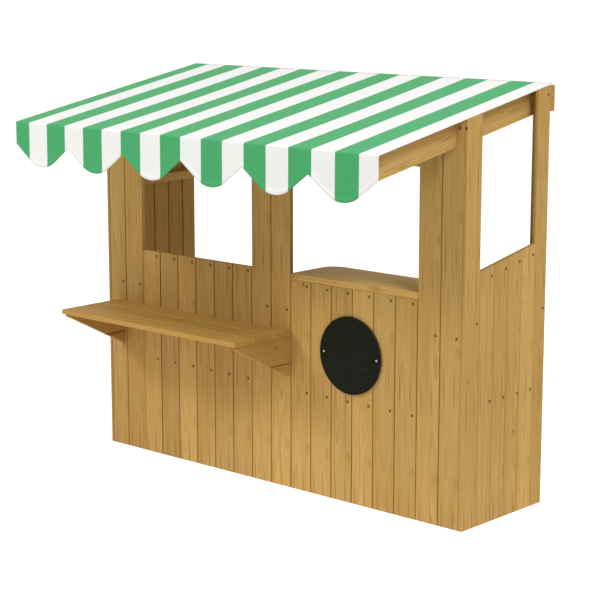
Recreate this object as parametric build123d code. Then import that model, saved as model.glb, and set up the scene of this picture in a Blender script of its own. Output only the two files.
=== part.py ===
from build123d import *
import os
from math import cos, radians, sin, tan

# Wooden market stall: a boarded front with a serving window and a counter,
# boarded sides, an open back and a striped cloth awning on three rafters.
# Millimetres, +Z up. Customers stand on the -Y side, +X is to their right.
# The origin is on the ground under the middle of the stall's outer box.

# Driving dimensions: the boarded walls
stall_width = 1812.0
wall_depth = 481.0
board_thickness = 16.0
front_board_cover = 100.0
middle_pillar_boards = 2
opening_boards = 6
joint_groove = 2.5
side_corner_board = 84.0
side_rear_board = 72.0
side_infill_boards = 4

# Driving dimensions: heights of the openings
sill_height = 825.0
side_sill_front_height = 912.0
lintel_underside = 1263.0

# Driving dimensions: the square battens of the frame
batten = 35.0
middle_post_width = 70.0
window_mid_rail_height = 391.0
counter_mid_rail_height = 381.0
side_mid_rail_height = 442.0
left_upper_rail_height = 1077.0
window_sill_rail_drop = 8.0
side_sill_rail_drop = 18.0

# Driving dimensions: the roof
roof_pitch = 10.5
eave_height = 1355.0
roof_overhang = 461.0
rafter_plumb_depth = 100.0
eave_rail_thickness = 20.0
eave_rail_depth = 70.0
back_rail_thickness = 26.0
back_rail_depth = 92.0

# Driving dimensions: the awning cloth
awning_inset = 6.0
cloth_thickness = 3.0
cloth_gap = 0.3
scallop_count = 6
valance_cusp_drop = 86.0
scallop_depth = 81.0
scallop_flank_angle = 36.0

# Driving dimensions: counter, shelf and sign
counter_thickness = 25.0
counter_depth = 235.0
counter_corner_radius = 65.0
counter_edge_round = 3.0
shelf_top_height = 607.0
shelf_thickness = 19.0
shelf_depth = 300.0
shelf_end_inset = 56.0
shelf_planks = ("front", "middle", "back")
plank_chamfer = 2.0
bracket_thickness = 30.0
bracket_inset = 8.0
bracket_reach = 287.0
bracket_drop = 159.0
bracket_nose = 10.0
bracket_joint_drop = 107.0
sign_diameter = 288.0
sign_thickness = 8.0
sign_edge_chamfer = 1.0
sign_x = 396.0
sign_height = 556.0

# Clearance at a seat, and how far a cutting body runs past what it cuts
fit_gap = 0.3
overrun = 50.0

# Lines across the stall, from the middle outwards
half_batten = batten / 2
side_outer = stall_width / 2
side_inner = side_outer - board_thickness
post_inner = side_inner - batten
rafter_inner = post_inner - batten
pillar_edge = middle_pillar_boards * front_board_cover / 2
opening_edge = pillar_edge + opening_boards * front_board_cover
awning_edge = side_outer - awning_inset

# Lines from the front of the awning to the back rail
front_reach = roof_overhang + cloth_gap + cloth_thickness
back_reach = wall_depth + back_rail_thickness
front_face = (front_reach - back_reach) / 2
board_back = front_face + board_thickness
frame_back = board_back + batten
wall_back = front_face + wall_depth
rear_post_front = wall_back - batten
rail_back = wall_back + back_rail_thickness
eave_face = front_face - roof_overhang
eave_back = eave_face + eave_rail_thickness
counter_apron_height = sill_height - counter_thickness
shelf_underside = shelf_top_height - shelf_thickness
tallest = eave_height + (rail_back - eave_face) * tan(radians(roof_pitch)) + overrun


def roof_line(y):
    """Height of the plane on which the cloth lies."""
    return eave_height + (y - eave_face) * tan(radians(roof_pitch))


def side_sill_line(y):
    """Height of the right wall's sill, which rises with the roof."""
    return side_sill_front_height + (y - front_face - side_corner_board) * tan(radians(roof_pitch))


def block(low, high):
    """Box between two corners."""
    sizes = [top - bottom for bottom, top in zip(low, high)]
    return Pos(*low) * Box(*sizes, align=(Align.MIN, Align.MIN, Align.MIN))


def prism_x(outline, x_low, x_high):
    """Outline of (y, z) points, drawn out along X."""
    wire = Polyline(*[(x_low, y, z) for y, z in outline], close=True)
    return extrude(make_face(wire), amount=x_high - x_low, dir=(1, 0, 0))


def prism_y(outline, y_low, y_high):
    """Outline of (x, z) points, drawn out along Y."""
    wire = Polyline(*[(x, y_low, z) for x, z in outline], close=True)
    return extrude(make_face(wire), amount=y_high - y_low, dir=(0, 1, 0))


def under_line(height_at, y_low, y_high):
    """Body that holds everything below a sloping line across the whole stall."""
    outline = [
        (y_low, -overrun),
        (y_high, -overrun),
        (y_high, height_at(y_high)),
        (y_low, height_at(y_low)),
    ]
    return prism_x(outline, -side_outer - overrun, side_outer + overrun)


def boarded_outline(joints, near, far):
    """Plan of boards side by side, with a V groove at each joint on both faces."""
    groove = joint_groove
    first, inner, last = joints[0], joints[1:-1], joints[-1]
    outline = [(first, near + groove), (first + groove, near)]
    for joint in inner:
        outline += [(joint - groove, near), (joint, near + groove), (joint + groove, near)]
    outline += [(last - groove, near), (last, near + groove)]
    outline += [(last, far - groove), (last - groove, far)]
    for joint in reversed(inner):
        outline += [(joint + groove, far), (joint, far - groove), (joint - groove, far)]
    outline += [(first + groove, far), (first, far - groove)]
    return outline


def front_panel(joints, height):
    """Upright boards of the front wall."""
    plan = boarded_outline(joints, front_face, board_back)
    wire = Polyline(*[(x, y, 0) for x, y in plan], close=True)
    return extrude(make_face(wire), amount=height, dir=(0, 0, 1))


def side_panel(joints, side, height_at):
    """Upright boards of a side wall, cut off along a sloping line."""
    near, far = sorted((side * side_inner, side * side_outer))
    plan = boarded_outline(joints, near, far)
    wire = Polyline(*[(x, y, 0) for y, x in plan], close=True)
    boards = extrude(make_face(wire), amount=tallest, dir=(0, 0, 1))
    return boards & under_line(height_at, joints[0] - overrun, joints[-1] + overrun)


def rafter(x_low, x_high, spare=0.0):
    """Sloping bearer with plumb ends, from the eave rail to the back rail."""
    outline = [
        (eave_back, roof_line(eave_back) + spare),
        (wall_back, roof_line(wall_back) + spare),
        (wall_back, roof_line(wall_back) - rafter_plumb_depth),
        (eave_back, roof_line(eave_back) - rafter_plumb_depth),
    ]
    return prism_x(outline, x_low - spare, x_high + spare)


def under_roof(shape):
    """Cut a piece off just below the cloth."""
    return shape & under_line(roof_line, eave_face, rail_back)


def board_joints(start, end, cover):
    """Joint lines from start to end, a board's cover apart."""
    joints = [start]
    while end - joints[-1] > cover + joint_groove + joint_groove:
        joints.append(joints[-1] + cover)
    return joints + [end]


def even_joints(start, end, count):
    """Joint lines that share a width out evenly."""
    return [start + (end - start) * index / count for index in range(count + 1)]


pieces = {}

# Front wall: three pillars up to the roof, notched for the rafters, and two aprons between them
rafter_edges = {
    "left": (-post_inner, -rafter_inner),
    "middle": (-half_batten, half_batten),
    "right": (rafter_inner, post_inner),
}
end_pillar_joints = board_joints(opening_edge, side_inner, front_board_cover)
pillar_joints = {
    "left": [-joint for joint in reversed(end_pillar_joints)],
    "middle": even_joints(-pillar_edge, pillar_edge, middle_pillar_boards),
    "right": end_pillar_joints,
}
pillar_height = roof_line(front_face) - fit_gap
for place, joints in pillar_joints.items():
    notch = rafter(*rafter_edges[place], spare=fit_gap)
    pieces[f"{place}_pillar_panel"] = front_panel(joints, pillar_height) - notch

window_joints = even_joints(-opening_edge, -pillar_edge, opening_boards)
counter_joints = even_joints(pillar_edge, opening_edge, opening_boards)
pieces["window_apron_panel"] = front_panel(window_joints, sill_height)
pieces["counter_apron_panel"] = front_panel(counter_joints, counter_apron_height)

# Side walls: the left one is boarded up to the roof, the right one has a window with a sloping sill
corner_line = front_face + side_corner_board
rear_line = wall_back - side_rear_board
infill_joints = even_joints(corner_line, rear_line, side_infill_boards)


def side_top(y):
    return roof_line(y) - fit_gap


pieces["left_wall_panel"] = side_panel([front_face] + infill_joints + [wall_back], -1, side_top)
pieces["right_front_corner_board"] = side_panel([front_face, corner_line], 1, side_top)
pieces["right_wall_panel"] = side_panel(infill_joints, 1, side_sill_line)
pieces["right_rear_corner_board"] = side_panel([rear_line, wall_back], 1, side_top)

# Posts in the corners and behind the middle pillar, of which the rear left one stops at its rail
post_plans = {
    "front_left_post": (-side_inner, -post_inner, board_back, frame_back),
    "front_right_post": (post_inner, side_inner, board_back, frame_back),
    "rear_right_post": (post_inner, side_inner, rear_post_front, wall_back),
}
for name, (x_low, x_high, y_low, y_high) in post_plans.items():
    pieces[name] = under_roof(block((x_low, y_low, 0), (x_high, y_high, tallest)))
pieces["rear_left_post"] = block(
    (-side_inner, rear_post_front, 0), (-post_inner, wall_back, side_mid_rail_height + half_batten)
)
middle_post_edge = middle_post_width / 2
pieces["middle_post"] = block(
    (-middle_post_edge, board_back, 0), (middle_post_edge, frame_back, lintel_underside)
)


def front_rail(x_low, x_high, top):
    """Square rail behind the front boards."""
    return block((x_low, board_back, top - batten), (x_high, frame_back, top))


def side_rail(side, middle_height):
    """Square rail behind the boards of a side wall, from the front post to the line of the rear one."""
    x_low, x_high = sorted((side * post_inner, side * side_inner))
    z_low = middle_height - half_batten
    return block((x_low, frame_back, z_low), (x_high, rear_post_front, z_low + batten))


# Rails that the boards are screwed to
pieces["window_mid_rail"] = front_rail(-post_inner, -middle_post_edge, window_mid_rail_height + half_batten)
pieces["counter_mid_rail"] = front_rail(middle_post_edge, post_inner, counter_mid_rail_height + half_batten)
window_sill_rail_top = sill_height - window_sill_rail_drop
pieces["window_sill_rail"] = front_rail(-post_inner, -middle_post_edge, window_sill_rail_top)
pieces["counter_rail"] = front_rail(middle_post_edge, post_inner, counter_apron_height)
pieces["left_mid_rail"] = side_rail(-1, side_mid_rail_height)
pieces["left_upper_rail"] = side_rail(-1, left_upper_rail_height)
pieces["right_mid_rail"] = side_rail(1, side_mid_rail_height)
sill_rail_top = [(y, side_sill_line(y) - side_sill_rail_drop) for y in (frame_back, rear_post_front)]
sill_rail_bottom = [(y, z - batten) for y, z in reversed(sill_rail_top)]
pieces["right_sill_rail"] = prism_x(sill_rail_top + sill_rail_bottom, post_inner, side_inner)

# Roof frame: lintel, rafters seated on it, eave rail in front and back rail behind


def rafter_underside(y):
    return roof_line(y) - rafter_plumb_depth


lintel = block((-post_inner, board_back, lintel_underside), (post_inner, frame_back, tallest))
pieces["front_lintel"] = lintel & under_line(rafter_underside, eave_face, rail_back)
for place, (x_low, x_high) in rafter_edges.items():
    pieces[f"{place}_rafter"] = rafter(x_low, x_high)
eave_rail_low = eave_height - eave_rail_depth
pieces["eave_rail"] = under_roof(
    block((-post_inner, eave_face, eave_rail_low), (post_inner, eave_back, tallest))
)
back_rail_top = roof_line(wall_back)
pieces["back_rail"] = block(
    (-side_outer, wall_back, back_rail_top - back_rail_depth), (side_outer, rail_back, back_rail_top)
)

# Awning cloth: a stretched roof and a valance with straight-sided, round-bottomed scallops
cloth_front = eave_face - cloth_gap
cloth_lower = [(y, roof_line(y) + cloth_gap) for y in (cloth_front, rail_back)]
cloth_upper = [(y, z + cloth_thickness) for y, z in reversed(cloth_lower)]
pieces["awning_roof"] = prism_x(cloth_lower + cloth_upper, -awning_edge, awning_edge)


def scalloped_valance():
    top = roof_line(cloth_front) + cloth_gap + cloth_thickness
    cusp = top - valance_cusp_drop
    bottom = cusp - scallop_depth
    half_pitch = awning_edge / scallop_count
    flank = radians(scallop_flank_angle)
    apex = half_pitch * tan(flank) - scallop_depth
    radius = apex * cos(flank) / (1 - cos(flank))
    tangent_x = radius * sin(flank)
    tangent_z = bottom + radius * (1 - cos(flank))
    edges = [Line((-awning_edge, cloth_front, top), (-awning_edge, cloth_front, cusp))]
    for index in range(scallop_count):
        middle = -awning_edge + half_pitch * (2 * index + 1)
        left_cusp = (middle - half_pitch, cloth_front, cusp)
        right_cusp = (middle + half_pitch, cloth_front, cusp)
        left_tangent = (middle - tangent_x, cloth_front, tangent_z)
        right_tangent = (middle + tangent_x, cloth_front, tangent_z)
        edges.append(Line(left_cusp, left_tangent))
        edges.append(ThreePointArc(left_tangent, (middle, cloth_front, bottom), right_tangent))
        edges.append(Line(right_tangent, right_cusp))
    edges.append(Line((awning_edge, cloth_front, cusp), (awning_edge, cloth_front, top)))
    edges.append(Line((awning_edge, cloth_front, top), (-awning_edge, cloth_front, top)))
    return extrude(make_face(edges), amount=cloth_thickness, dir=(0, -1, 0))


pieces["awning_valance"] = scalloped_valance()

# Counter top: flush with the front, its two rear corners rounded
counter = block(
    (pillar_edge + fit_gap, front_face, counter_apron_height),
    (opening_edge - fit_gap, front_face + counter_depth, sill_height),
)
rear_corners = counter.edges().filter_by(Axis.Z).sort_by(Axis.Y)[-2:]
counter = fillet(rear_corners, counter_corner_radius)
pieces["counter_top"] = fillet(counter.edges().group_by(Axis.Z)[-1], counter_edge_round)

# Shelf: three planks on two boarded brackets, below the serving window
shelf_right = pillar_edge
shelf_left = shelf_end_inset - side_outer
plank_width = shelf_depth / len(shelf_planks)
for index, place in enumerate(shelf_planks):
    plank_front = front_face - shelf_depth + plank_width * index
    plank = block(
        (shelf_left, plank_front, shelf_underside),
        (shelf_right, plank_front + plank_width, shelf_top_height),
    )
    pieces[f"shelf_{place}_plank"] = chamfer(plank.edges().filter_by(Axis.X), plank_chamfer)


def shelf_bracket(x_low):
    x_high = x_low + bracket_thickness
    front_tip = front_face - bracket_reach
    side = prism_x(
        [
            (front_face, shelf_underside),
            (front_tip, shelf_underside),
            (front_tip, shelf_underside - bracket_nose),
            (front_face, shelf_underside - bracket_drop),
        ],
        x_low,
        x_high,
    )
    joint = shelf_underside - bracket_joint_drop
    for face, inward in ((x_low, joint_groove), (x_high, -joint_groove)):
        section = [(face, joint - joint_groove), (face + inward, joint), (face, joint + joint_groove)]
        side = side - prism_y(section, front_tip, front_face)
    return side


pieces["shelf_bracket_left"] = shelf_bracket(shelf_left + bracket_inset)
pieces["shelf_bracket_right"] = shelf_bracket(shelf_right - bracket_inset - bracket_thickness)

# Round chalkboard on the counter apron
sign_plane = Plane(origin=(sign_x, front_face, sign_height), z_dir=(0, -1, 0))
sign = extrude(sign_plane * Circle(sign_diameter / 2), amount=sign_thickness)
pieces["chalkboard_disc"] = chamfer(sign.edges().sort_by(Axis.Y)[0], sign_edge_chamfer)

os.makedirs("parts", exist_ok=True)
for name, shape in pieces.items():
    export_step(shape, f"parts/{name}.step")
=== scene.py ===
"""Looks of the wooden market stall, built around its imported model.

Tongued and grooved pine boards, eased battens and rafters, a planked shelf, a counter with round
corners, a chalkboard, screws, and a striped canvas awning with a scalloped valance.
"""
import math
import random

import bmesh
import bpy
from bmesh.types import BMEdge, BMVert
from bpy.props import FloatProperty, FloatVectorProperty, IntProperty, PointerProperty
from mathutils import Matrix, Vector


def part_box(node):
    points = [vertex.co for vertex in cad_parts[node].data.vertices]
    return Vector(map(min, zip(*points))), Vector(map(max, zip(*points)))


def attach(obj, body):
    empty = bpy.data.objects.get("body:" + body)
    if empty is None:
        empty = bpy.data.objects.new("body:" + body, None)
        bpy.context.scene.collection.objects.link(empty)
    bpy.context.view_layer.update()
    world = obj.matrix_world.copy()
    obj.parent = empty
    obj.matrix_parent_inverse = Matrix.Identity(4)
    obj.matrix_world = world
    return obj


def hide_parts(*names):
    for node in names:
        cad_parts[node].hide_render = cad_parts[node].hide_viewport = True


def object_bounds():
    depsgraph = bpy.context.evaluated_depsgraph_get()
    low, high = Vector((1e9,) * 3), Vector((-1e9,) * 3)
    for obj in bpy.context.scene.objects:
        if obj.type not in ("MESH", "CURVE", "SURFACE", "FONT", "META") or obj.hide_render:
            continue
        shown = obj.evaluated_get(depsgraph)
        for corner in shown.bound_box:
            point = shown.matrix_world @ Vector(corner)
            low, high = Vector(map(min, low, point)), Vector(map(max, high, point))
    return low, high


bl_info = {
    "name": "Wooden Market Stall",
    "version": (1, 0, 0),
    "blender": (4, 5, 0),
    "location": "3D View > Sidebar > Stall",
    "description": "Dresses a market stall's frame with pine boards, a counter, a shelf and an awning",
    "category": "Object",
}

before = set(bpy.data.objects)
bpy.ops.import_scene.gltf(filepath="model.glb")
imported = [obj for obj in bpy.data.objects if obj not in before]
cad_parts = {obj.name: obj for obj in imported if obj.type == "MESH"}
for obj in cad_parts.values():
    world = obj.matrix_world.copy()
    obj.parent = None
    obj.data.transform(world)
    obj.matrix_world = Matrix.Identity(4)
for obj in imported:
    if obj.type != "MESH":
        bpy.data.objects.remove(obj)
CAD_LOW, CAD_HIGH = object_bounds()
BODY = "root"

X, Y, Z = Vector((1, 0, 0)), Vector((0, 1, 0)), Vector((0, 0, 1))
MERGE = 1e-5
FLAT = math.radians(1)
SHARP = math.radians(25)
# Least cosine between an axis and the normal of a face that lies square to it, or at a timber's end
SQUARE, END_FACE = 0.99, 0.8
# How far from the line of a joint its chamfers reach
CHAMFER_REACH = 0.0026
# Marks on the faces of a timber, which the pine reads
RUBBED, STAINED = (0.0, 1.0, 0.0), (0.0, 0.0, 1.0)
# How many boards make an apron, the middle pillar and the low part of a side wall
APRON_BOARDS, PILLAR_BOARDS, SIDE_BOARDS = 6, 2, 4
# Where a screw stands in its board, as a share of the board's width
SCREW_SHARES = {"front": 0.8, "side": 0.85, "front_corner": 0.835, "rear_corner": 0.81}


def length(name, description, default):
    """A size in metres."""
    return FloatProperty(name=name, description=description, default=default, unit="LENGTH", precision=5)


def position(name, description, default):
    """A point in metres."""
    return FloatVectorProperty(name=name, description=description, default=default, subtype="TRANSLATION")


def angle(name, description, degrees):
    """An angle, given in degrees."""
    turn = math.radians(degrees)
    return FloatProperty(name=name, description=description, default=turn, unit="ROTATION")


def share(name, description, default):
    """A number without a unit."""
    return FloatProperty(name=name, description=description, default=default, precision=4)


def power(name, description, default):
    """A lamp's power in watts."""
    return FloatProperty(name=name, description=description, default=default, unit="POWER")


def colour(name, description, default):
    """A linear colour."""
    return FloatVectorProperty(
        name=name, description=description, default=default, subtype="COLOR", min=0.0, max=1.0
    )


class StallTimber(bpy.types.PropertyGroup):
    """Sizes and colours of the pine."""

    # Early wood also paints the pale highlight in the shelf's plank joints, and warm wood, besides its
    # resin patches, the painted warm shade of whole pieces
    early_wood: colour("Early wood", "Pale wood between the growth rings", (0.557, 0.351, 0.1140))
    late_wood: colour("Late wood", "Dark line of a growth ring", (0.340, 0.177, 0.0445))
    warm_wood: colour("Warm wood", "Resin-rich patches", (0.486, 0.272, 0.069))
    knot_wood: colour("Knot", "Heart of a knot", (0.165, 0.072, 0.022))
    joint_stain: colour("Joint stain", "Stain that gathers in a board joint", (0.115, 0.041, 0.006))
    joint_reach: length("Joint reach", "How far the stain of a joint fades over the board", 0.006)
    ring_spacing: length("Ring spacing", "From one growth ring to the next", 0.0062)
    board_gap: length("Board gap", "Between two boards at a joint", 0.0005)
    open_gap: length("Open gap", "At the one joint that has shrunk open", 0.0036)
    side_gap: length("Side gap", "Between two boards of a side wall", 0.0004)
    flame_spacing: length("Flame spacing", "From one row of flames in the grain to the next", 0.44)
    flame_lane: length("Flame lane", "From one flame to the next across a board", 0.046)
    flame_length: length("Flame length", "Of a flame, from its foot to its tip", 0.19)
    flame_width: length("Flame width", "Of a flame at its foot", 0.007)
    tongue_thickness: length("Tongue thickness", "Through the board", 0.005)
    tongue_length: length("Tongue length", "From the joint into the next board", 0.006)
    board_ease: length("Board edge", "Rounding of a board's edges", 0.0007)
    plank_ease: length("Plank edge", "Rounding of a shelf plank's edges", 0.0020)
    batten_ease: length("Batten edge", "Rounding of a batten's edges", 0.0022)
    counter_radius: length("Counter corner", "Radius of the counter's rear corners", 0.065)
    counter_ease: length("Counter edge", "Rounding of the counter's edges", 0.003)


class StallAwning(bpy.types.PropertyGroup):
    """Sizes and colours of the awning canvas."""

    green: colour("Green", "Dyed stripes", (0.056, 0.405, 0.142))
    white: colour("White", "Undyed stripes", (0.935, 0.940, 0.930))
    stripe_width: length("Stripe width", "Of each whole stripe", 0.1026)
    first_stripe: length("First stripe", "Width of the cut stripe at the left end", 0.0778)
    thickness: length("Thickness", "Of the canvas", 0.0009)
    yarn: length("Yarn", "From one thread of the weave to the next", 0.0012)
    scallops: IntProperty(name="Scallops", description="Along the valance", default=6, min=1)
    cusp_drop: length("Cusp drop", "From the fold to the points between the scallops", 0.086)
    flank_angle: angle("Flank angle", "Slope of a scallop's straight sides", 36.0)
    fold_radius: length("Fold radius", "Where the canvas turns down over the eave", 0.005)
    hem: length("Hem", "Width of the sewn edge", 0.011)
    hem_step: length("Hem step", "How far the sewn edge stands out", 0.0006)
    stitch: length("Stitch", "From one stitch of the hem to the next", 0.0045)
    sag: length("Sag", "Between the rafters", 0.004)
    ripple: length("Ripple", "How far the valance waves outwards", 0.0022)


class StallFittings(bpy.types.PropertyGroup):
    """Screws and the chalkboard."""

    screw_head: length("Screw head", "Diameter in the boards", 0.0112)
    sign_screw_head: length("Sign screw head", "Diameter in the chalkboard", 0.0080)
    screw_proud: length("Screw height", "How far a head stands out", 0.0005)
    coated_steel: colour("Coated steel", "Brown screws in the boards", (0.048, 0.020, 0.008))
    zinc: colour("Zinc", "Bright screws in the chalkboard", (0.520, 0.520, 0.500))
    sill_row: length("Window sill screws", "Height", 0.8064)
    pillar_low: length("Lower pillar screws", "Height", 0.684)
    pillar_high: length("Upper pillar screws", "Height", 1.409)
    corner_low: length("Lower corner screws", "Height", 0.731)
    rear_high: length("Upper rear screw", "Height", 1.498)
    sign_screws: length("Sign screws", "From the sign's middle", 0.125)
    board_paint: colour("Chalkboard paint", "Matt surface", (0.0058, 0.0066, 0.0022))
    chalk_dust: colour("Chalk dust", "Left by wiping", (0.018, 0.019, 0.015))
    board_edge: colour("Chalkboard edge", "Bare edge of the board", (0.060, 0.032, 0.016))
    sign_ease: length("Sign edge", "Rounding of the chalkboard's edge", 0.001)


class StallStage(bpy.types.PropertyGroup):
    """Camera, floor and light."""

    camera_place: position("Camera", "Where the camera stands", (4.5487, -4.8901, 1.9783))
    camera_yaw: angle("Yaw", "Turn of the camera to the left", 42.119)
    camera_pitch: angle("Pitch", "Tilt of the camera downwards", 10.776)
    camera_lens: FloatProperty(name="Lens", description="Focal length in millimetres", default=108.518)
    floor_size: length("Floor size", "Half of the floor's side", 150.0)
    floor: colour("Floor", "Pale studio floor", (0.80, 0.80, 0.79))
    floor_glow: share("Floor glow", "White that the camera sees on the floor besides its light", 0.72)
    # Floor light is the floor's own glow round the stall, not light falling on it
    floor_light: share("Floor light", "Strength of the lit floor under the stall", 0.52)
    floor_light_reach: length("Floor light reach", "Where the lit floor fades out", 2.8)
    sky: share("Sky", "Strength of the light from all round", 0.47)
    sky_tint: colour("Sky tint", "Warm light from all round", (1.00, 0.85, 0.75))
    lamp_tint: colour("Lamp tint", "Cool light of the lamps", (0.86, 0.95, 1.00))
    key_place: position("Key place", "Lamp at the front left", (-4.3, -4.7, 5.4))
    key_size: length("Key size", "Side of the square lamp", 1.6)
    key_power: power("Key power", "Lamp at the front left", 236.0)
    fill_place: position("Fill place", "Lamp at the front right", (5.6, -1.8, 6.1))
    fill_size: length("Fill size", "Side of the square lamp", 2.5)
    fill_power: power("Fill power", "Lamp at the front right", 338.0)


def arithmetic(operation, reflected=False):
    """An operator of Value, which adds a Math node."""

    def add_node(value, term):
        terms = (term, value) if reflected else (value, term)
        return value.finish.math(operation, *terms)

    return add_node


class Value:
    """One output of a node, with arithmetic that adds Math nodes behind it."""

    __add__ = arithmetic("ADD")
    __radd__ = arithmetic("ADD", reflected=True)
    __sub__ = arithmetic("SUBTRACT")
    __rsub__ = arithmetic("SUBTRACT", reflected=True)
    __mul__ = arithmetic("MULTIPLY")
    __rmul__ = arithmetic("MULTIPLY", reflected=True)
    __truediv__ = arithmetic("DIVIDE")
    __gt__ = arithmetic("GREATER_THAN")
    __lt__ = arithmetic("LESS_THAN")

    def __init__(self, finish, socket):
        self.finish = finish
        self.socket = socket

    def other(self, name):
        """Another output of the same node."""
        return Value(self.finish, self.socket.node.outputs[name])


class Finish:
    """A node tree that is filled node by node."""

    def __init__(self, tree):
        self.tree = tree
        tree.nodes.clear()

    def node(self, kind, settings=(), sockets=()):
        """Add a node, set it up, fill or link its inputs, and give back its first output."""
        made = self.tree.nodes.new(kind)
        for key, setting in dict(settings).items():
            setattr(made, key, setting)
        for key, term in dict(sockets).items():
            if isinstance(term, Value):
                self.tree.links.new(term.socket, made.inputs[key])
            else:
                made.inputs[key].default_value = term
        return Value(self, made.outputs[0]) if len(made.outputs) else None

    def math(self, operation, *terms):
        return self.node("ShaderNodeMath", {"operation": operation}, enumerate(terms))

    def smooth(self, term, low, high):
        """Rises smoothly from 0 at low to 1 at high."""
        sockets = {"Value": term, "From Min": low, "From Max": high}
        return self.node("ShaderNodeMapRange", {"interpolation_type": "SMOOTHSTEP"}, sockets)

    def fade(self, term, low, high):
        """Falls smoothly from 1 at low to 0 at high."""
        return 1.0 - self.smooth(term, low, high)

    def spread(self, term, low, high):
        """Turns 0 to 1 into low to high."""
        return term * (high - low) + low

    def hypot(self, x, y):
        return self.math("SQRT", x * x + y * y)

    def mix(self, factor, low, high, blend="MIX"):
        """Colour between two others."""
        settings = {"data_type": "RGBA", "blend_type": blend}
        mixed = self.node("ShaderNodeMix", settings, {0: factor, 6: low, 7: high})
        return Value(self, mixed.socket.node.outputs[2])

    def shade(self, base, level):
        """Colour made darker or lighter by a number."""
        return self.mix(1.0, base, level, "MULTIPLY")

    def layered(self, base, *layers):
        """Colour under layers, each given as its mask, its strength and its colour."""
        for mask, strength, tint in layers:
            base = self.mix(mask * strength, base, rgba(tint))
        return base

    def vector(self, x, y, z):
        return self.node("ShaderNodeCombineXYZ", {}, {"X": x, "Y": y, "Z": z})

    def split(self, vector):
        parts = self.node("ShaderNodeSeparateXYZ", {}, {"Vector": vector})
        return parts, parts.other("Y"), parts.other("Z")

    def red_green(self, tint):
        parts = self.node("ShaderNodeSeparateColor", {}, {"Color": tint})
        return parts, parts.other("Green")

    def noise(self, vector, detail=2.0, roughness=0.5):
        sockets = {"Vector": vector, "Scale": 1.0, "Detail": detail, "Roughness": roughness}
        return self.node("ShaderNodeTexNoise", {}, sockets)

    def attribute(self, name):
        """A vector stored on the piece's mesh."""
        return self.node("ShaderNodeAttribute", {"attribute_name": name}).other("Vector")

    def object_place(self):
        return self.node("ShaderNodeTexCoord").other("Object")

    def bump(self, height, distance, strength):
        sockets = {"Height": height, "Distance": distance, "Strength": strength}
        return self.node("ShaderNodeBump", {}, sockets)

    def surface(self, **sockets):
        """End the material in one shader, with its inputs named in words."""
        named = {key.replace("_", " "): term for key, term in sockets.items()}
        shader = self.node("ShaderNodeBsdfPrincipled", {}, named)
        self.node("ShaderNodeOutputMaterial", {}, {"Surface": shader})


def new_material(name, kind=Finish):
    """An empty material and the tree to fill."""
    material = bpy.data.materials.new(name)
    material.use_nodes = True
    return material, kind(material.node_tree)


def rgba(linear):
    return (*linear, 1.0)


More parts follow.
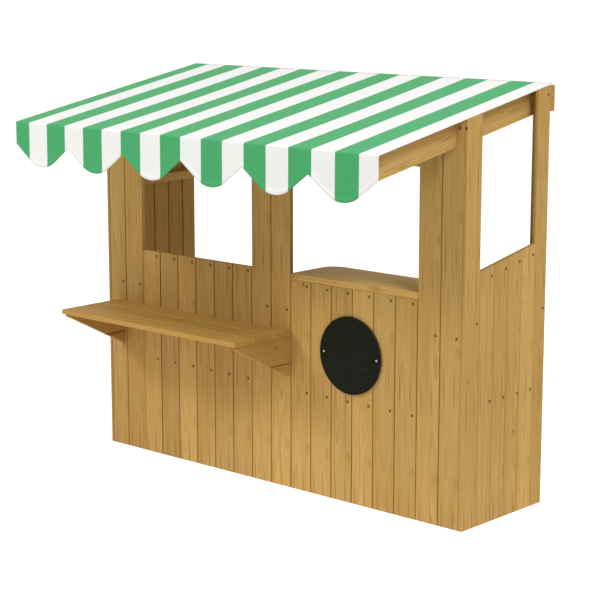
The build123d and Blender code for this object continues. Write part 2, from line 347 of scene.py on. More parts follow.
class PineFinish(Finish):
    """Pine, drawn from the grain, the seed, the marks and the sides that a timber's mesh carries."""

    seed_reach = 40.0

    def __init__(self, tree):
        super().__init__(tree)
        self.across, self.through, self.along = self.split(self.attribute("grain"))
        self.seeds = self.split(self.attribute("seed"))
        self.shifts = [seed * self.seed_reach for seed in self.seeds]
        self.end, self.ease, self.joint = self.split(self.attribute("marks"))
        self.from_low, self.from_high, self.rise = self.split(self.attribute("sides"))

    def drawn_out(self, cells_across, cells_along):
        """Noise that is longer along the grain than across it."""
        x, y, z = self.shifts
        side = self.across * cells_across + x
        depth = self.through * cells_across + y
        return self.noise(self.vector(side, depth, self.along * cells_along + z))

    def knots(self):
        """How far out from the heart of a knot a point lies, the knots, and the swirl round them."""
        knots_across, knots_along = 6.0, 3.4
        rarity, margin = 0.84, 0.028
        x, y, _ = self.shifts
        place = self.vector(self.across * knots_across + x, self.along * knots_along + y, 0.0)
        settings = {"voronoi_dimensions": "2D"}
        cells = self.node("ShaderNodeTexVoronoi", settings, {"Vector": place, "Scale": 1.0})
        chance, size = self.red_green(cells.other("Color"))
        centre, _, _ = self.split(cells.other("Position"))
        off_middle = self.math("ABSOLUTE", centre - x) / knots_across
        present = (chance > rarity) * (off_middle < margin)
        radii = cells / self.spread(size, 0.014, 0.040)
        return radii, present * self.fade(radii, 0.7, 1.1), present * self.fade(radii, 0.5, 4.5)

    def late_wood(self, timber, swirl):
        """Growth rings about a wandering pith behind the board, at another place in each board."""
        pith_aside, pith_depth, least_depth = 0.05, 0.03, 0.024
        wander_aside, wander_depth, bends_along = 0.12, 0.09, 1.2
        first, second, _ = self.seeds
        x, y, z = self.shifts
        wander = self.noise(self.vector(x, y, self.along * bends_along + z), 1.0)
        drift, sink = self.red_green(wander.other("Color"))
        side = self.across - (first - 0.5) * pith_aside - (drift - 0.5) * wander_aside
        depth = self.through + second * pith_depth + (sink - 0.5) * wander_depth + least_depth
        wobble = self.drawn_out(22.0, 5.0) - 0.5
        radius = self.hypot(side, depth) + swirl * 0.006 + wobble * 0.005
        turns = radius / timber.ring_spacing
        phase = self.math("FRACT", turns)
        ring = self.math("FLOOR", turns) + x
        contrast = self.node("ShaderNodeTexWhiteNoise", {"noise_dimensions": "1D"}, {"W": ring})
        late = self.smooth(phase, 0.25, 0.86) * self.fade(phase, 0.92, 1.0)
        return late * self.spread(contrast, 0.4, 1.0)

    def flames(self, timber):
        """Slim flames that stand in rows along a board, and the shadow of a knot over each row."""
        uneven, first_row = 0.16, 0.05
        lane_shift, slant = 0.4, 0.006
        shadow_side, shadow_climb = 0.034, 1.15
        _, second, third = self.seeds
        spacing = second * uneven + (timber.flame_spacing - uneven / 2)
        turn = self.math("FRACT", (self.rise + first_row) / spacing)
        climb = turn * spacing / timber.flame_length
        lane = self.math("FRACT", self.across / timber.flame_lane + third * lane_shift) - 0.5
        lean = lane * timber.flame_lane + climb * slant
        half = (1.0 - climb) * (timber.flame_width / 2)
        flame = self.fade(self.math("ABSOLUTE", lean) - half, -0.0020, 0.0028)
        flame = flame * self.smooth(climb, 0.0, 0.38) * self.fade(climb, 0.5, 1.0)
        over = (climb - shadow_climb) * (timber.flame_length / 2)
        shadow = self.fade(self.hypot(self.across - shadow_side, over), 0.003, 0.018)
        return flame, shadow


def pine(name, timber, level=1.0, stain=0.4, shade_warmth=0.0, groove=None):
    """Oiled pine: growth rings, resin patches, streaks, fibres, knots, flames, end grain and joints, with
    a level and a warmth over the whole piece that some pieces use as painted shade or a painted
    reflection.
    """
    groove = groove or timber.joint_stain
    material, finish = new_material(name, PineFinish)
    radii, knot, swirl = finish.knots()
    late = finish.late_wood(timber, swirl)
    flame, shadow = finish.flames(timber)
    fibres = finish.drawn_out(850.0, 16.0)
    streaks = finish.drawn_out(150.0, 1.8)
    patches = finish.drawn_out(9.0, 2.2)
    base = finish.layered(
        rgba(timber.early_wood),
        (late, 0.40, timber.late_wood),
        (finish.smooth(patches, 0.42, 0.72), 0.55, timber.warm_wood),
        (finish.smooth(streaks, 0.46, 0.74), 0.38, timber.late_wood),
        # An even layer of warm wood over the whole piece, as painted warm shade
        (shade_warmth, 1.0, timber.warm_wood),
    )
    heart = finish.math("SINE", radii * 16.0) * 0.12 + 0.88
    base = finish.layered(
        finish.shade(base, finish.spread(fibres, 0.82, 1.18)),
        (knot, heart, timber.knot_wood),
        (swirl, 0.22, timber.late_wood),
        (shadow, 0.32, timber.late_wood),
        (flame, 0.46, timber.knot_wood),
        (finish.end, 0.45, timber.late_wood),
        (finish.ease, 0.12, timber.early_wood),
    )
    # A random tone for each board, times the piece's level, which darkens the left wall, the brackets and
    # the battens as painted shade and lightens the counter as a painted reflection
    tone = finish.spread(finish.seeds[2], 0.92, 1.08) * level
    from_joint = finish.math("MINIMUM", finish.from_low, finish.from_high)
    base = finish.layered(
        finish.shade(base, tone),
        (finish.fade(from_joint, 0.002, timber.joint_reach), stain * 0.3, groove),
        (finish.joint, stain, groove),
    )
    height = fibres * 0.5 - late * 0.35 - knot * 0.4
    finish.surface(
        Base_Color=base,
        Roughness=late * -0.10 + fibres * 0.16 + finish.end * 0.15 + 0.50,
        Normal=finish.bump(height, distance=0.0006, strength=0.6),
        Specular_IOR_Level=0.06,
    )
    return material


def canvas(name, awning):
    """Striped canvas with a plain weave and a stitched hem."""
    material, finish = new_material(name)
    x, along, edge = finish.split(finish.attribute("cloth"))

    def cloth_noise(cells_across, cells_along, layer, detail=2.0):
        return finish.noise(finish.vector(x * cells_across, along * cells_along, layer), detail)

    slub = cloth_noise(260.0, 9.0, 0.0) + cloth_noise(9.0, 260.0, 3.0)
    fuzz = (cloth_noise(900.0, 900.0, 7.0, detail=0.0) - 0.5) * 0.012
    soil = cloth_noise(3.0, 3.0, 11.0, detail=4.0)
    left, _ = span("awning_roof", X)
    stripe = (x - (left + awning.first_stripe)) / awning.stripe_width + fuzz
    green = finish.math("FRACT", stripe / 2.0) > 0.5
    base = finish.mix(green, rgba(awning.white), rgba(awning.green))
    base = finish.shade(base, slub * 0.05 + soil * 0.05 + 0.93)

    # One row of stitches along the hem
    row, half_thread, stitch_share = awning.hem * 0.8, 0.0007, 0.66
    stitch = finish.math("ABSOLUTE", edge - row) < half_thread
    stitch = stitch * (finish.math("FRACT", x / awning.stitch) < stitch_share)
    base = finish.shade(base, 1.0 - stitch * 0.10)

    threads = 2.0 * math.pi / awning.yarn
    weave = finish.math("SINE", x * threads) * finish.math("SINE", along * threads)
    height = weave * 0.5 + slub * 0.6 - stitch * 0.8
    finish.surface(
        Base_Color=base,
        Roughness=slub * 0.08 + 0.70,
        Normal=finish.bump(height, distance=0.0003, strength=0.5),
        Specular_IOR_Level=0.30,
        Sheen_Weight=0.12,
        Sheen_Roughness=0.45,
    )
    return material


def chalkboard_paint(name, fittings):
    """Matt black paint with the dust of wiped chalk, and a bare edge."""
    material, finish = new_material(name)
    x, _, z = finish.split(finish.object_place())
    low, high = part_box("chalkboard_disc")
    middle = (low + high) / 2
    radius = (high.x - low.x) / 2
    side = x - middle.x
    rise = z - middle.z
    reach = finish.hypot(side, rise)
    wipe = finish.noise(finish.vector(side * 7.0 + rise * 4.0, rise * 26.0 - side * 15.0, 0.0), 5.0, 0.6)
    grit = finish.noise(finish.vector(side * 900.0, rise * 900.0, 0.0))
    dust = finish.smooth(wipe, 0.40, 0.75) * finish.fade(reach, radius * 0.75, radius)
    rim = finish.smooth(reach, radius - 0.0012, radius - 0.0004)
    base = finish.layered(
        rgba(fittings.board_paint),
        (dust, finish.spread(grit, 0.2, 1.0), fittings.chalk_dust),
        (rim, finish.spread(grit, 0.5, 1.0), fittings.board_edge),
    )
    finish.surface(
        Base_Color=base,
        Roughness=dust * 0.15 + grit * 0.12 + 0.70,
        Normal=finish.bump(grit, distance=0.0002, strength=0.35),
        Specular_IOR_Level=0.10,
    )
    return material


def screw_metal(name, metal, shine):
    """Metal of a screw head, rubbed a little unevenly."""
    material, finish = new_material(name)
    wear_cells = 1400.0
    sockets = {0: finish.object_place(), 3: wear_cells}
    worn = finish.noise(finish.node("ShaderNodeVectorMath", {"operation": "SCALE"}, sockets), 3.0)
    finish.surface(
        Base_Color=finish.shade(rgba(metal), finish.spread(worn, 0.7, 1.3)),
        Metallic=shine,
        Roughness=finish.spread(worn, 0.42, 0.67),
        Specular_IOR_Level=0.20,
    )
    return material


def span(node, axis):
    """Where a node begins and ends along an axis."""
    low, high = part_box(node)
    return low.dot(axis), high.dot(axis)


def only(kind, parts):
    """The parts of one kind, such as edges."""
    return [part for part in parts if isinstance(part, kind)]


def once(parts):
    """The parts in their order, each once."""
    return list(dict.fromkeys(parts))


def with_layers(shape):
    """Room for the grain and the marks that the pine reads."""
    for name in ("grain", "seed", "sides"):
        shape.verts.layers.float_vector.new(name)
    shape.faces.layers.float_vector.new("marks")
    return shape


def node_copy(node):
    """A merged copy of a CAD node, with one face for each flat side and the layers that timber needs."""
    shape = bmesh.new()
    shape.from_mesh(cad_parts[node].data)
    bmesh.ops.remove_doubles(shape, verts=shape.verts, dist=MERGE)
    bmesh.ops.dissolve_limit(shape, angle_limit=FLAT, verts=shape.verts, edges=shape.edges)
    return with_layers(shape)


def cut_off(shape, axis, place, side):
    """Cut a shape at a plane across an axis, drop the part beyond it, and close the cut."""
    parts = shape.verts[:] + shape.edges[:] + shape.faces[:]
    cut = bmesh.ops.bisect_plane(
        shape, geom=parts, dist=MERGE, plane_co=axis * place, plane_no=axis * side, clear_outer=True
    )
    bmesh.ops.holes_fill(shape, edges=only(BMEdge, cut["geom_cut"]), sides=0)


def bevel(shape, edges, width, segments):
    """Round some edges, and give back the new faces."""
    made = bmesh.ops.bevel(
        shape,
        geom=edges,
        offset=width,
        segments=segments,
        profile=0.5,
        affect="EDGES",
        clamp_overlap=True,
        material=-1,
    )
    return made["faces"]


def ease_edges(shape, width, segments=2):
    """Round the sharp edges, and mark the new faces as rubbed."""
    sharp = [edge for edge in shape.edges if edge.is_manifold and edge.calc_face_angle() > SHARP]
    made = bevel(shape, sharp, width, segments)
    marks = shape.faces.layers.float_vector["marks"]
    for face in made:
        face[marks] = RUBBED


def faces_at(shape, axis, place):
    """Faces square to an axis at one place along it."""
    square = [face for face in shape.faces if abs(face.normal.dot(axis)) > SQUARE]
    return [face for face in square if abs(face.calc_center_median().dot(axis) - place) < MERGE]


def draw_strip(shape, axis, place, through, thickness, amount):
    """Pull the middle strip of a board's side out into a tongue, or push it in for a groove."""
    side = max(faces_at(shape, axis, place), key=lambda face: face.calc_area())
    middle = side.calc_center_median().dot(through)
    for offset in (-thickness / 2, thickness / 2):
        faces = faces_at(shape, axis, place)
        parts = once(part for face in faces for part in (face, *face.edges, *face.verts))
        cut = through * (middle + offset)
        bmesh.ops.bisect_plane(shape, geom=parts, dist=MERGE, plane_co=cut, plane_no=through)
    strip = [
        face
        for face in faces_at(shape, axis, place)
        if abs(face.calc_center_median().dot(through) - middle) < thickness / 4
    ]
    for face in bmesh.ops.extrude_discrete_faces(shape, faces=strip)["faces"]:
        bmesh.ops.translate(shape, verts=face.verts[:], vec=axis * amount)


def split_boards(panel, axis, through, joints, timber, gap, meets=(False, False), open_joint=None):
    """Tongued and grooved boards cut from a panel along its joints, each with its stained sides."""
    gaps = [timber.open_gap if index == open_joint else gap for index in range(len(joints))]
    groove = timber.tongue_thickness + timber.board_gap
    boards = []
    last = len(joints) - 2
    for index, (low, high) in enumerate(zip(joints, joints[1:])):
        start = low + gaps[index] / 2
        end = high - gaps[index + 1] / 2
        board = panel.copy()
        if index > 0:
            cut_off(board, axis, start, -1)
        if index < last:
            cut_off(board, axis, end, 1)
        ease_edges(board, timber.board_ease)
        if index > 0:
            draw_strip(board, axis, start, through, groove, timber.tongue_length)
        if index < last:
            draw_strip(board, axis, end, through, timber.tongue_thickness, timber.tongue_length)
        sides = [low if index > 0 or meets[0] else None, high if index < last or meets[1] else None]
        mark_joints(board, axis, sides)
        boards.append((board, sides))
    panel.free()
    return boards


def mark_joints(board, axis, sides):
    """Mark the chamfers and the faces at a board's joints, where stain gathers."""
    board.normal_update()
    marks = board.faces.layers.float_vector["marks"]
    for face in board.faces:
        place = face.calc_center_median().dot(axis)
        if any(side is not None and abs(place - side) < CHAMFER_REACH for side in sides):
            face[marks] = STAINED


def lay_grain(shape, along, across, chance, sides=(None, None)):
    """Store each point's place in its timber, from its stained sides and from its foot, and its seed."""
    shape.normal_update()
    grain = shape.verts.layers.float_vector["grain"]
    seed = shape.verts.layers.float_vector["seed"]
    beside = shape.verts.layers.float_vector["sides"]
    marks = shape.faces.layers.float_vector["marks"]
    through = along.cross(across)
    corners = [vert.co for vert in shape.verts]
    low = Vector([min(point[k] for point in corners) for k in range(3)])
    high = Vector([max(point[k] for point in corners) for k in range(3)])
    middle = (low + high) / 2
    draw = [chance.random() for _ in range(3)]
    foot = min(point.dot(along) for point in corners)
    for vert in shape.verts:
        offset = vert.co - middle
        vert[grain] = (offset.dot(across), offset.dot(through), offset.dot(along))
        vert[seed] = draw
        place = vert.co.dot(across)
        reaches = [1.0 if side is None else abs(place - side) for side in sides]
        vert[beside] = (*reaches, vert.co.dot(along) - foot)
    for face in shape.faces:
        if abs(face.normal.dot(along)) > END_FACE:
            face[marks] = (1.0, 0.0, face[marks].z)


def to_mesh(shape, name):
    """The mesh of a shape, which is used up."""
    mesh = bpy.data.meshes.new(name)
    shape.to_mesh(mesh)
    shape.free()
    return mesh


def joined(shapes):
    """One shape out of several."""
    whole = bmesh.new()
    for shape in shapes:
        mesh = to_mesh(shape, "part")
        whole.from_mesh(mesh)
        bpy.data.meshes.remove(mesh)
    return whole


def new_object(name, data):
    """An object in the scene, at the origin."""
    made = bpy.data.objects.new(name, data)
    bpy.context.scene.collection.objects.link(made)
    return made


def add_piece(name, shape, material, nodes=(), smooth_below=None):
    """Make a shape a piece of the stall that stands for its CAD nodes."""
    mesh = to_mesh(shape, name)
    mesh.materials.append(material)
    if smooth_below is not None:
        mesh.shade_smooth()
        mesh.set_sharp_from_angle(angle=smooth_below)
    piece = new_object(name, mesh)
    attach(piece, BODY)
    if nodes:
        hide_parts(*nodes)
    return piece


def boarded_piece(node, axis, through, joints, along, material, timber, gap, **joint_kinds):
    """A boarded panel as separate boards."""
    chance = random.Random(node)
    boards = split_boards(node_copy(node), axis, through, joints, timber, gap, **joint_kinds)
    for board, sides in boards:
        lay_grain(board, along, axis, chance, sides)
    add_piece(f"{node}_boards", joined([board for board, _ in boards]), material, [node])


def timber_piece(node, along, across, material, width):
    """A single timber with eased edges."""
    shape = node_copy(node)
    ease_edges(shape, width)
    lay_grain(shape, along, across, random.Random(node))
    add_piece(f"{node}_timber", shape, material, [node])


def evenly(low, high, count):
    """Places that share a width out evenly, both ends included."""
    return [low + (high - low) * index / count for index in range(count + 1)]


def front_joints():
    """Joint lines of each front panel, from the left to the right."""
    apron_low, apron_high = span("window_apron_panel", X)
    cover = (apron_high - apron_low) / APRON_BOARDS
    left_low, left_high = span("left_pillar_panel", X)
    right_low, right_high = span("right_pillar_panel", X)
    return {
        "window_apron_panel": evenly(apron_low, apron_high, APRON_BOARDS),
        "counter_apron_panel": evenly(*span("counter_apron_panel", X), APRON_BOARDS),
        "middle_pillar_panel": evenly(*span("middle_pillar_panel", X), PILLAR_BOARDS),
        "left_pillar_panel": [left_low, left_high - cover, left_high],
        "right_pillar_panel": [right_low, right_low + cover, right_high],
    }


def side_joints():
    """Joint lines of each side panel, from the front to the back."""
    infill = evenly(*span("right_wall_panel", Y), SIDE_BOARDS)
    front, back = span("left_wall_panel", Y)
    return {
        "left_wall_panel": [front, *infill, back],
        "right_front_corner_board": [front, infill[0]],
        "right_wall_panel": infill,
        "right_rear_corner_board": [infill[-1], back],
    }


def roof_slope():
    """Direction up the roof, from the front to the back."""
    low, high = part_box("awning_roof")
    front, back = span("awning_valance", Y)
    return Vector((0, high.y - low.y, high.z - low.z - (back - front))).normalized()


def sill_slope():
    """Direction up the side window's sill, from the front to the back."""
    low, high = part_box("right_sill_rail")
    batten = high.x - low.x
    return Vector((0, high.y - low.y, high.z - low.z - batten)).normalized()


class STALL_OT_front_boards(bpy.types.Operator):
    """Board the three pillars and the two aprons of the front"""

    bl_idname = "stall.front_boards"
    bl_label = "Front boards"

    def execute(self, context):
        timber = context.scene.stall_timber
        material = pine("front_board_pine", timber, stain=0.42)
        for node, joints in front_joints().items():
            apron = node.endswith("apron_panel")
            kinds = {
                "meets": (apron, apron or node == "middle_pillar_panel"),
                "open_joint": 1 if node == "window_apron_panel" else None,
            }
            boarded_piece(node, X, Y, joints, Z, material, timber, timber.board_gap, **kinds)
        return {"FINISHED"}


class STALL_OT_side_boards(bpy.types.Operator):
    """Board both side walls"""

    bl_idname = "stall.side_boards"
    bl_label = "Side boards"

    def execute(self, context):
        timber = context.scene.stall_timber
        right_pine = pine("right_board_pine", timber, stain=0.16)
        # The left wall's low level and warmth are painted shade inside the stall
        left_pine = pine("left_board_pine", timber, level=0.84, stain=0.60, shade_warmth=0.7)
        for node, joints in side_joints().items():
            material = left_pine if node == "left_wall_panel" else right_pine
            infill = node == "right_wall_panel"
            meets = (infill, infill)
            boarded_piece(node, Y, X, joints, Z, material, timber, timber.side_gap, meets=meets)
        return {"FINISHED"}


class STALL_OT_frame_battens(bpy.types.Operator):
    """Ease the posts, rails and lintel behind the boards"""

    bl_idname = "stall.frame_battens"
    bl_label = "Frame battens"

    def execute(self, context):
        timber = context.scene.stall_timber
        # The battens' low level is painted shade behind the boards
        material = pine("batten_pine", timber, level=0.95)
        posts = ("front_left", "front_right", "rear_left", "rear_right", "middle")
        front_rails = ("window_mid_rail", "window_sill_rail", "counter_mid_rail", "counter_rail")
        side_rails = ("left_mid_rail", "left_upper_rail", "right_mid_rail")
        runs = [(f"{place}_post", Z, X) for place in posts]
        runs += [(node, X, Z) for node in (*front_rails, "front_lintel")]
        runs += [(node, Y, Z) for node in side_rails]
        runs += [("right_sill_rail", sill_slope(), X)]
        for node, along, across in runs:
            timber_piece(node, along, across, material, timber.batten_ease)
        return {"FINISHED"}


class STALL_OT_roof_timber(bpy.types.Operator):
    """Ease the rafters, the eave rail and the back rail"""

    bl_idname = "stall.roof_timber"
    bl_label = "Roof timber"

    def execute(self, context):
        timber = context.scene.stall_timber
        material = pine("roof_pine", timber, level=0.92)
        slope = roof_slope()
        for place in ("left", "middle", "right"):
            timber_piece(f"{place}_rafter", slope, slope.cross(X), material, timber.batten_ease)
        for place in ("eave", "back"):
            timber_piece(f"{place}_rail", X, Z, material, timber.batten_ease)
        return {"FINISHED"}


class STALL_OT_shelf(bpy.types.Operator):
    """Make the planked shelf and its boarded brackets"""

    bl_idname = "stall.shelf"
    bl_label = "Shelf"

    def execute(self, context):
        timber = context.scene.stall_timber
        # The shelf's warmth is painted warm shade, and its pale early-wood joints are a painted highlight
        # along the plank edges
        material = pine("shelf_pine", timber, level=1.06, stain=0.9, shade_warmth=0.9, groove=timber.early_wood)
        # The brackets' low level and warmth are painted shade under the shelf
        bracket_pine = pine("bracket_pine", timber, level=0.84, stain=0.4, shade_warmth=0.9)
        planks = {"front": (False, True), "middle": (True, True), "back": (True, False)}
        for place, meets in planks.items():
            self.add_plank(f"shelf_{place}_plank", meets, material, timber)
        for place in ("left", "right"):
            node = f"shelf_bracket_{place}"
            low, high = span(node, Z)
            joints = [low, self.bracket_joint(node), high]
            boarded_piece(node, Z, X, joints, Y, bracket_pine, timber, timber.board_gap)
        return {"FINISHED"}

    def add_plank(self, node, meets, material, timber):
        """One plank, stained where it meets its neighbours."""
        shape = node_copy(node)
        ease_edges(shape, timber.plank_ease)
        sides = [side if met else None for side, met in zip(span(node, Y), meets)]
        mark_joints(shape, Y, sides)
        lay_grain(shape, X, Y, random.Random(node), sides)
        add_piece(f"{node}_timber", shape, material, [node])

    def bracket_joint(self, node):
        """Height of the groove that runs along a bracket's side."""
        low, high = span(node, X)
        corners = [vert.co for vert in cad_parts[node].data.vertices]
        inside = [corner.z for corner in corners if low + MERGE < corner.x < high - MERGE]
        return sum(inside) / len(inside)


class STALL_OT_counter(bpy.types.Operator):
    """Make the counter top with its two round corners"""

    bl_idname = "stall.counter"
    bl_label = "Counter"

    def execute(self, context):
        timber = context.scene.stall_timber
        low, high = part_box("counter_top")
        shape = with_layers(bmesh.new())
        placing = Matrix.Translation((low + high) / 2) @ Matrix.Diagonal((*(high - low), 1.0))
        bmesh.ops.create_cube(shape, size=1.0, matrix=placing)
        rear = [
            edge
            for edge in shape.edges
            if all(vert.co.y > high.y - MERGE for vert in edge.verts)
            and abs(edge.verts[0].co.x - edge.verts[1].co.x) < MERGE
        ]
        bevel(shape, rear, timber.counter_radius, segments=24)
        ease_edges(shape, timber.counter_ease, segments=4)
        lay_grain(shape, X, Y, random.Random("counter_top"))
        # The counter's raised level is a painted reflection of the bright surroundings on its top
        material = pine("counter_pine", timber, level=1.25)
        add_piece("counter_top_timber", shape, material, ["counter_top"], smooth_below=SHARP)
        return {"FINISHED"}


class STALL_OT_chalkboard(bpy.types.Operator):
    """Make the round chalkboard"""

    bl_idname = "stall.chalkboard"
    bl_label = "Chalkboard"

    def execute(self, context):
        fittings = context.scene.stall_fittings
        low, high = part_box("chalkboard_disc")
        radius = (high.x - low.x) / 2
        facing = Matrix.Translation((low + high) / 2) @ Matrix.Rotation(math.pi / 2, 4, "X")
        shape = with_layers(bmesh.new())
        bmesh.ops.create_cone(
            shape,
            cap_ends=True,
            segments=128,
            radius1=radius,
            radius2=radius,
            depth=high.y - low.y,
            matrix=facing,
        )
        ease_edges(shape, fittings.sign_ease, segments=3)
        material = chalkboard_paint("chalkboard_paint", fittings)
        add_piece("chalkboard", shape, material, ["chalkboard_disc"], smooth_below=SHARP)
        return {"FINISHED"}


class STALL_OT_awning(bpy.types.Operator):
    """Stretch the canvas over the rafters and hang its scalloped valance"""

    bl_idname = "stall.awning"
    bl_label = "Awning"

    columns_per_scallop = 40
    roof_rows = 56
    fold_rows = 6
    valance_rows = 12
    hem_rows = 2
    # Height, turns and shift of each wave along the valance, about a middle line
    wave_middle = 0.5
    waves = ((0.3, 23.0, 0.6), (0.2, 51.0, 2.1))

    def execute(self, context):
        awning = context.scene.stall_awning
        self.measure(awning)
        columns = awning.scallops * self.columns_per_scallop
        rows = self.roof_rows + self.fold_rows + self.valance_rows + self.hem_rows
        shape = bmesh.new()
        cloth = shape.verts.layers.float_vector.new("cloth")
        bmesh.ops.create_grid(shape, x_segments=columns, y_segments=rows, size=0.5)
        for vert in shape.verts:
            x = vert.co.x * self.width
            row = round((0.5 - vert.co.y) * rows)
            place, along, edge = self.canvas_point(awning, x, row)
            vert.co = place
            vert[cloth] = (x, along, min(edge, self.width / 2 - abs(x)))
        area = sum(face.calc_area() for face in shape.faces)
        material = canvas("awning_canvas", awning)
        nodes = ["awning_roof", "awning_valance"]
        piece = add_piece("awning_canvas", shape, material, nodes, smooth_below=math.pi)
        solidify = piece.modifiers.new("canvas thickness", "SOLIDIFY")
        solidify.thickness = awning.thickness
        solidify.offset = 0.0
        return {"FINISHED"}

    def measure(self, awning):
        """Take the canvas's line from the frame: up the roof, round the eave and down the valance."""
        roof_low, roof_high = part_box("awning_roof")
        valance_low, valance_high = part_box("awning_valance")
        self.width = roof_high.x - roof_low.x
        self.slope = roof_slope()
        half = awning.thickness / 2
        self.front = valance_high.y - half
        rise = self.slope.z / self.slope.y
        corner = roof_low.z + half + (self.front - roof_low.y) * rise
        self.corner = Vector((0, self.front, corner))
        self.turn = math.pi / 2 - math.asin(self.slope.z)
        self.fold_run = awning.fold_radius * math.tan(self.turn / 2)
        self.slope_length = (roof_high.y - self.front) / self.slope.y
        self.bottom = valance_low.z
        self.cusp = valance_high.z - awning.cusp_drop
        self.half_pitch = self.width / awning.scallops / 2
        apex = self.half_pitch * math.tan(awning.flank_angle) - (self.cusp - self.bottom)
        self.round = apex * math.cos(awning.flank_angle) / (1 - math.cos(awning.flank_angle))
        window_low, window_high = span("window_apron_panel", X)
        self.bay = (-window_high, -window_low)

    def lower_edge(self, awning, x):
        """Height of the valance's lower edge, and the cosine of its slope there."""
        from_left = (x + self.width / 2) % (2 * self.half_pitch)
        off_middle = abs(from_left - self.half_pitch)
        if off_middle < self.round * math.sin(awning.flank_angle):
            rise = math.sqrt(self.round**2 - off_middle**2)
            return self.bottom + self.round - rise, rise / self.round
        run = self.half_pitch - off_middle
        return self.cusp - run * math.tan(awning.flank_angle), math.cos(awning.flank_angle)

    def canvas_point(self, awning, x, row):
        """Where a point of the canvas lies, how far it is from the fold, and from the cut edge."""
        across = X * x
        if row <= self.roof_rows:
            run = self.slope_length - (self.slope_length - self.fold_run) * row / self.roof_rows
            place = self.corner + self.slope * run + across
            return place - Z * self.sag_at(awning, x, run), run, self.slope_length - run
        if row <= self.roof_rows + self.fold_rows:
            step = (row - self.roof_rows) / self.fold_rows
            heading = math.pi + math.asin(self.slope.z) + self.turn * step
            inward = Vector((0, self.slope.z, -self.slope.y))
            centre = self.corner + self.slope * self.fold_run + inward * awning.fold_radius
            outward = Vector((0, math.sin(heading), -math.cos(heading)))
            run = self.fold_run * (1 - 2 * step)
            return centre + outward * awning.fold_radius + across, run, self.slope_length
        return self.valance_point(awning, x, row - self.roof_rows - self.fold_rows)

    def valance_point(self, awning, x, row):
        """A point of the hanging valance, whose last rows are the hem."""
        top = self.corner.z - self.fold_run
        bottom, level = self.lower_edge(awning, x)
        hem = awning.hem / level
        step = min(row / self.valance_rows, 1.0)
        drop = (top - bottom - hem) * step
        out = 0.0
        if row > self.valance_rows:
            hem_row = row - self.valance_rows
            drop += awning.hem_step if hem_row == 1 else hem
            out = awning.hem_step
        waves = (height * math.sin(x * turns + shift) for height, turns, shift in self.waves)
        wave = sum(waves, self.wave_middle)
        out += awning.ripple * wave * (drop / (top - self.bottom)) ** 1.5
        place = Vector((x, self.front - out, top - drop))
        return place, -drop, (place.z - bottom) * level

    def sag_at(self, awning, x, run):
        """How far the canvas hangs below the roof plane, between the pillars and between the rails."""
        low, high = self.bay
        between = (abs(x) - low) / (high - low)
        if not 0.0 < between < 1.0:
            return 0.0
        up = run / self.slope_length
        return awning.sag * math.sin(math.pi * between) ** 2 * math.sin(math.pi * up)


def screw_shape(diameter, proud):
    """A low domed head with a six-lobed recess, facing +Z."""
    rim_share, recess_share, depth_share, lobe_share = 0.86, 0.42, 0.45, 0.16
    segments, lobes = 24, 6.0
    shape = bmesh.new()
    radius = diameter / 2
    recess = bmesh.ops.create_circle(shape, segments=segments, radius=radius * recess_share)["verts"]
    for vert in recess:
        vert.co *= 1.0 + lobe_share * math.cos(lobes * math.atan2(vert.co.y, vert.co.x))
    inner = once(edge for vert in recess for edge in vert.link_edges)
    rim = bmesh.ops.create_circle(shape, segments=segments, radius=radius * rim_share)["verts"]
    outer = once(edge for vert in rim for edge in vert.link_edges)
    bmesh.ops.bridge_loops(shape, edges=inner + outer)
    bmesh.ops.translate(shape, verts=shape.verts[:], vec=Z * proud)
    flank = bmesh.ops.extrude_edge_only(shape, edges=outer)["geom"]
    flare = (1 / rim_share, 1 / rim_share, 0.0)
    bmesh.ops.scale(shape, verts=only(BMVert, flank), vec=flare)
    walls = bmesh.ops.extrude_edge_only(shape, edges=inner)["geom"]
    bmesh.ops.translate(shape, verts=only(BMVert, walls), vec=-Z * radius * depth_share)
    bmesh.ops.contextual_create(shape, geom=only(BMEdge, walls))
    bmesh.ops.recalc_face_normals(shape, faces=shape.faces[:])
    return shape


def driven(head, place, facing, chance):
    """A copy of a screw head at a place, turned as the driver left it."""
    shape = head.copy()
    turn = Matrix.Rotation(chance.uniform(0.0, math.pi), 4, "Z")
    seat = Matrix.Translation(place) @ facing.to_track_quat("Z", "Y").to_matrix().to_4x4()
    bmesh.ops.transform(shape, matrix=seat @ turn, verts=shape.verts[:])
    return shape


def middle_height(node):
    return sum(span(node, Z)) / 2


def in_boards(joints, kind):
    """Where the screws stand between the joints, one in each board."""
    return [low + (high - low) * SCREW_SHARES[kind] for low, high in zip(joints, joints[1:])]


def front_screw_places(fittings):
    """Screws through the front boards, into the rails and the posts behind them."""
    heights = {
        "window_apron_panel": [fittings.sill_row, middle_height("window_mid_rail")],
        "counter_apron_panel": [middle_height("counter_rail"), middle_height("counter_mid_rail")],
    }
    pillar = [fittings.pillar_low, fittings.pillar_high]
    face, _ = span("window_apron_panel", Y)
    places = []
    for node, joints in front_joints().items():
        for x in in_boards(joints, "front"):
            places += [Vector((x, face, height)) for height in heights.get(node, pillar)]
    for node in ("left_wall_panel", "right_front_corner_board"):
        places.append(Vector((sum(span(node, X)) / 2, face, fittings.pillar_high)))
    return places


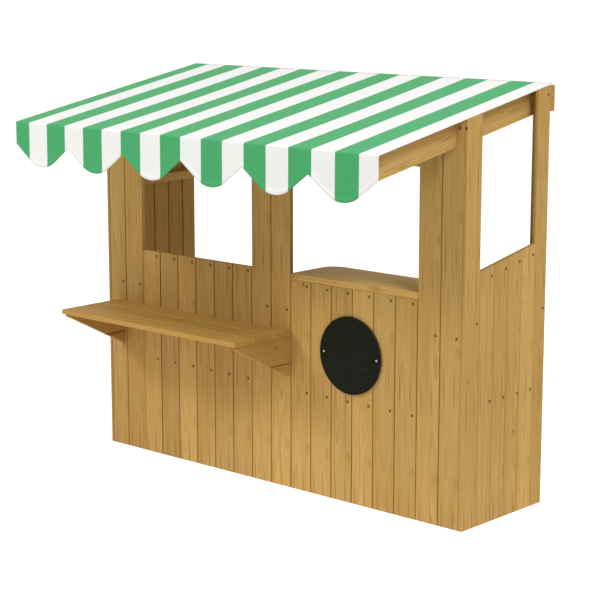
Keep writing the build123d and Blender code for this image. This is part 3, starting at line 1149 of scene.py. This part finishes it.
def side_screw_places(fittings):
    """Screws through the boards of the left side and of the right side, into the rails and posts."""
    joints = side_joints()
    left, _ = span("left_wall_panel", X)
    _, right = span("right_wall_panel", X)
    rows = in_boards(joints["right_wall_panel"], "side")
    [front_row] = in_boards(joints["right_front_corner_board"], "front_corner")
    [rear_row] = in_boards(joints["right_rear_corner_board"], "rear_corner")
    sill_low, sill_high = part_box("right_sill_rail")
    sill_start = sill_low.z + (sill_high.x - sill_low.x) / 2
    climb = sill_slope().z / sill_slope().y
    right_places = []
    for y in rows:
        right_places.append(Vector((right, y, sill_start + (y - sill_low.y) * climb)))
        right_places.append(Vector((right, y, middle_height("right_mid_rail"))))
    right_places.append(Vector((right, front_row, fittings.corner_low)))
    right_places.append(Vector((right, rear_row, fittings.corner_low)))
    right_places.append(Vector((right, rear_row, fittings.rear_high)))
    left_places = [
        Vector((left, y, middle_height(node)))
        for y in [front_row, *rows, rear_row]
        for node in ("left_mid_rail", "left_upper_rail")
    ]
    return left_places, right_places


class STALL_OT_screws(bpy.types.Operator):
    """Drive the screws of the boards and of the chalkboard"""

    bl_idname = "stall.screws"
    bl_label = "Screws"

    def execute(self, context):
        fittings = context.scene.stall_fittings
        chance = random.Random("screws")
        head = screw_shape(fittings.screw_head, fittings.screw_proud)
        left_places, right_places = side_screw_places(fittings)
        facings = [(front_screw_places(fittings), -Y), (left_places, -X), (right_places, X)]
        heads = [driven(head, place, facing, chance) for places, facing in facings for place in places]
        head.free()
        brown = screw_metal("coated_steel", fittings.coated_steel, 0.0)
        add_piece("board_screws", joined(heads), brown, smooth_below=SHARP)
        low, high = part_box("chalkboard_disc")
        middle = (low + high) / 2
        small = screw_shape(fittings.sign_screw_head, fittings.screw_proud)
        signs = [
            driven(small, Vector((middle.x + side * fittings.sign_screws, low.y, middle.z)), -Y, chance)
            for side in (-1, 1)
        ]
        small.free()
        zinc = screw_metal("zinc", fittings.zinc, 1.0)
        add_piece("chalkboard_screws", joined(signs), zinc, smooth_below=SHARP)
        return {"FINISHED"}


class STALL_OT_stage(bpy.types.Operator):
    """Set up the floor, the light and the camera"""

    bl_idname = "stall.stage"
    bl_label = "Stage"

    def execute(self, context):
        stage = context.scene.stall_stage
        self.lay_floor(stage)
        self.light_sky(context, stage)
        self.add_lamp("key", stage.key_place, stage.key_size, stage.key_power, stage.lamp_tint)
        self.add_lamp("fill", stage.fill_place, stage.fill_size, stage.fill_power, stage.lamp_tint)
        self.add_camera(context, stage)
        context.scene.view_settings.view_transform = "Standard"
        return {"FINISHED"}

    def lay_floor(self, stage):
        """Pale floor that glows round the stall to light it from below, and that looks white to the
        camera where no shadow falls.
        """
        shape = bmesh.new()
        bmesh.ops.create_grid(shape, x_segments=1, y_segments=1, size=stage.floor_size)
        mesh = to_mesh(shape, "floor")
        material, finish = new_material("studio_floor")
        seen = self.seen(finish)
        matt = finish.node("ShaderNodeBsdfDiffuse", {}, {"Color": rgba(stage.floor)})
        x, y, _ = finish.split(finish.object_place())
        even_share = 0.15
        reach = finish.hypot(x, y) / stage.floor_light_reach
        # The floor's own glow round the stall is painted light from below; the camera sees only the even
        # glow
        under_glow = finish.fade(reach, even_share, 1.0) * stage.floor_light
        strength = under_glow + seen * (stage.floor_glow - under_glow)
        glow = finish.node("ShaderNodeEmission", {}, {"Strength": strength})
        both = finish.node("ShaderNodeAddShader", {}, {0: matt, 1: glow})
        finish.node("ShaderNodeOutputMaterial", {}, {"Surface": both})
        mesh.materials.append(material)
        new_object("floor", mesh)

    def seen(self, finish):
        """1 for rays from the camera, from a reflection or through glass."""
        path = finish.node("ShaderNodeLightPath")
        rays = path + path.other("Is Glossy Ray") + path.other("Is Transmission Ray")
        return finish.math("MINIMUM", rays, 1.0)

    def light_sky(self, context, stage):
        """Even light from all round, white behind the stall."""
        world = bpy.data.worlds.new("studio")
        world.use_nodes = True
        finish = Finish(world.node_tree)
        seen = self.seen(finish)
        strength = finish.spread(seen, stage.sky, 1.0)
        tint = finish.mix(seen, rgba(stage.sky_tint), (1.0, 1.0, 1.0, 1.0))
        sky = finish.node("ShaderNodeBackground", {}, {"Color": tint, "Strength": strength})
        finish.node("ShaderNodeOutputWorld", {}, {"Surface": sky})
        context.scene.world = world

    def add_lamp(self, name, place, size, energy, tint):
        """A large square lamp that faces the stall."""
        lamp = bpy.data.lights.new(name, "AREA")
        lamp.shape = "SQUARE"
        lamp.size = size
        lamp.energy = energy
        lamp.color = tint
        target = Vector((0, 0, (CAD_LOW.z + CAD_HIGH.z) / 2))
        aim = (target - place).to_track_quat("-Z", "Y").to_matrix().to_4x4()
        new_object(name, lamp).matrix_world = Matrix.Translation(place) @ aim

    def add_camera(self, context, stage):
        """Camera at the photograph's place and angle."""
        camera = bpy.data.cameras.new("camera")
        camera.lens = stage.camera_lens
        camera.clip_end = 3.0 * stage.floor_size
        holder = new_object("camera", camera)
        holder.location = stage.camera_place
        holder.rotation_euler = (math.pi / 2 - stage.camera_pitch, 0.0, stage.camera_yaw)
        context.scene.camera = holder


GROUPS = {
    "stall_timber": StallTimber,
    "stall_awning": StallAwning,
    "stall_fittings": StallFittings,
    "stall_stage": StallStage,
}
OPERATORS = (
    STALL_OT_front_boards,
    STALL_OT_side_boards,
    STALL_OT_frame_battens,
    STALL_OT_roof_timber,
    STALL_OT_shelf,
    STALL_OT_counter,
    STALL_OT_chalkboard,
    STALL_OT_awning,
    STALL_OT_screws,
    STALL_OT_stage,
)


class STALL_PT_panel(bpy.types.Panel):
    """Lists the stall's pieces and their sizes"""

    bl_idname = "STALL_PT_panel"
    bl_label = "Market Stall"
    bl_space_type = "VIEW_3D"
    bl_region_type = "UI"
    bl_category = "Stall"

    def draw(self, context):
        for operator in OPERATORS:
            self.layout.operator(operator.bl_idname)
        for name, group in GROUPS.items():
            box = self.layout.box()
            settings = getattr(context.scene, name)
            for key in group.__annotations__:
                box.prop(settings, key)


CLASSES = (*GROUPS.values(), *OPERATORS, STALL_PT_panel)


def register():
    for cls in CLASSES:
        bpy.utils.register_class(cls)
    for name, group in GROUPS.items():
        setattr(bpy.types.Scene, name, PointerProperty(type=group))


def unregister():
    for name in GROUPS:
        delattr(bpy.types.Scene, name)
    for cls in reversed(CLASSES):
        bpy.utils.unregister_class(cls)


def main():
    register()
    bpy.ops.stall.front_boards()
    bpy.ops.stall.side_boards()
    bpy.ops.stall.frame_battens()
    bpy.ops.stall.roof_timber()
    bpy.ops.stall.shelf()
    bpy.ops.stall.counter()
    bpy.ops.stall.chalkboard()
    bpy.ops.stall.awning()
    bpy.ops.stall.screws()
    bpy.ops.stall.stage()


if __name__ == "__main__":
    main()
